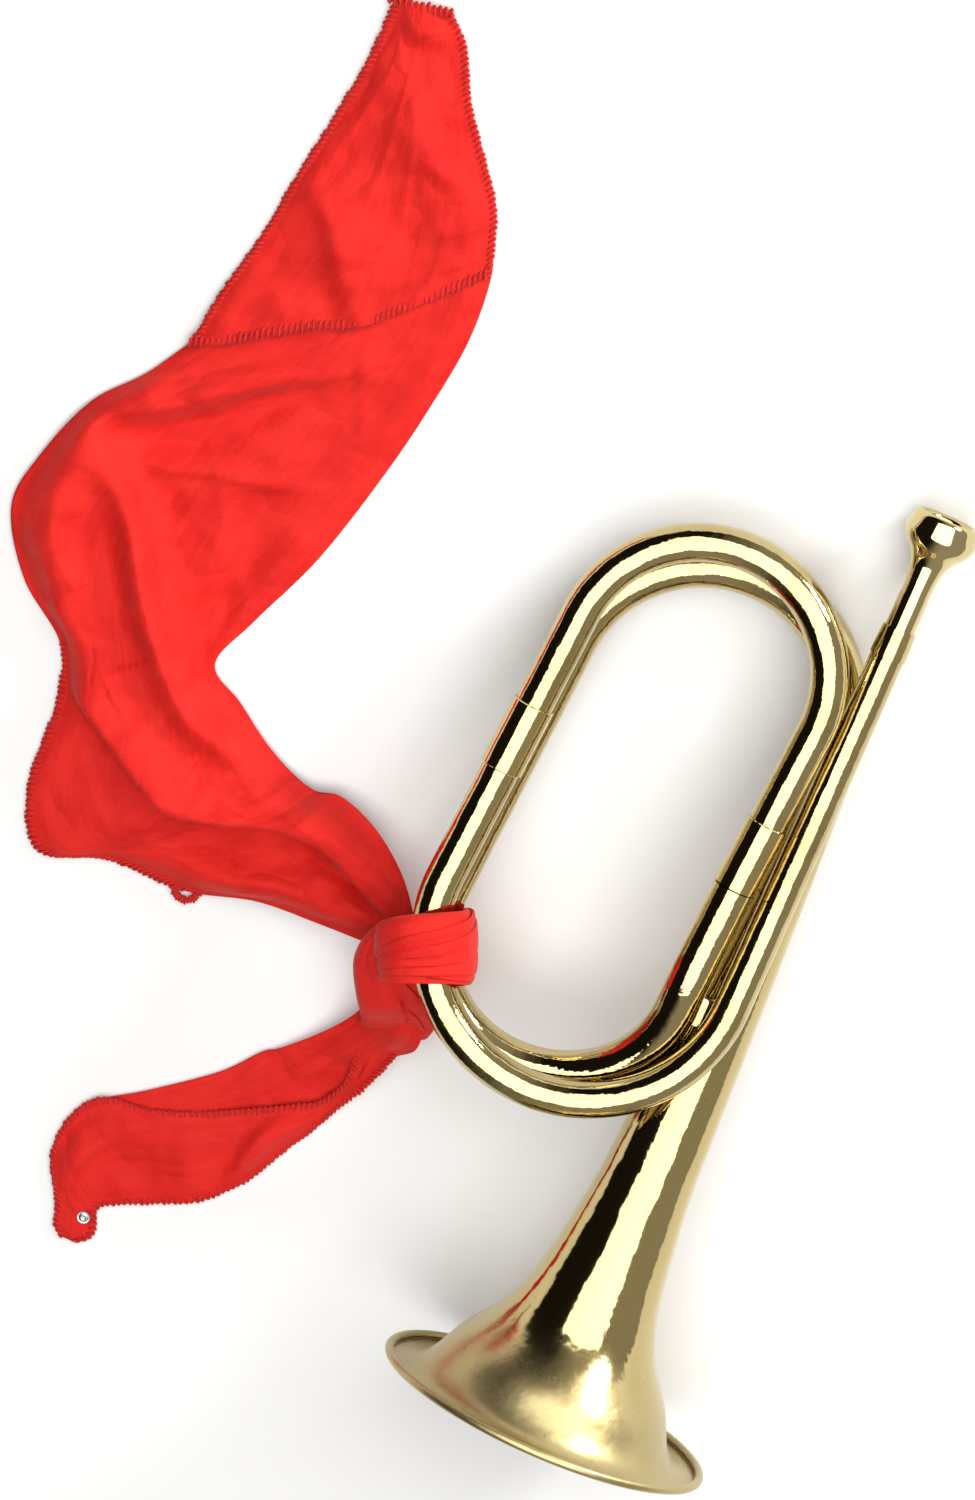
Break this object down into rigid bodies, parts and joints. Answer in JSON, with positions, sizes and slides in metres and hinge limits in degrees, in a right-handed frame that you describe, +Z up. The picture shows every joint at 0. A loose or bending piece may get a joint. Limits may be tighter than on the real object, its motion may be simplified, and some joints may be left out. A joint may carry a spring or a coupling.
{
  "type": "bugle",
  "caption": "Coiled brass bugle with a flared bell, a tuning slide and a pull-out mouthpiece, lying flat with a kerchief knotted round its lower bows.",
  "frame": {"origin": "on the table the part lies on, under the middle of its bounding box", "axes": "+Y runs along the bell toward the mouthpiece end, +X from the loops toward the bell, +Z up from the table"},
  "size_m": [0.3096, 0.4115, 0.1036],
  "materials": {
    "tube_brass": "polished, lacquered",
    "bell_brass": "satin to polished, lacquered",
    "sleeve_brass": "polished",
    "mouthpiece_brass": "bright polished, turned",
    "solder_brass": "dull, soldered",
    "wire_steel": "drawn",
    "stud_steel": "satin",
    "red_cotton": "satin cotton",
    "red_thread": "crocheted thread"
  },
  "bodies": {
    "horn": {"mouthpiece_receiver": "sleeve_brass", "mouthpipe": "tube_brass", "first_bow": "tube_brass", "first_riser": "tube_brass", "left_slide_sleeve": "sleeve_brass", "right_slide_sleeve": "sleeve_brass", "inner_downpipe": "tube_brass", "second_bow": "tube_brass", "second_riser": "tube_brass", "crossover_bow": "tube_brass", "bell_stem": "bell_brass", "bell_flare": "bell_brass", "rim_wire": "wire_steel", "stem_saddle_upper": "solder_brass", "stem_saddle_lower": "solder_brass", "riser_saddle": "solder_brass", "bow_saddle": "solder_brass", "downpipe_saddle": "solder_brass", "scarf_long_tail": "red_cotton", "scarf_knot": "red_cotton", "scarf_short_tail": "red_cotton", "scarf_loop": "red_thread", "scarf_stud": "stud_steel"},
    "mouthpiece": {"mouthpiece_cup": "mouthpiece_brass", "mouthpiece_shank": "mouthpiece_brass"},
    "tuning_slide": {"tuning_bow": "tube_brass"}
  },
  "joints": [
    {"name": "mouthpiece_pull", "type": "slide", "parent": "horn", "child": "mouthpiece", "axis": [0.0026, 0.975, -0.2223], "range_m": [0, 0.03]},
    {"name": "tuning_pull", "type": "slide", "parent": "horn", "child": "tuning_slide", "axis": [0.0627, 0.9839, -0.1676], "range_m": [0, 0.008]}
  ]
}
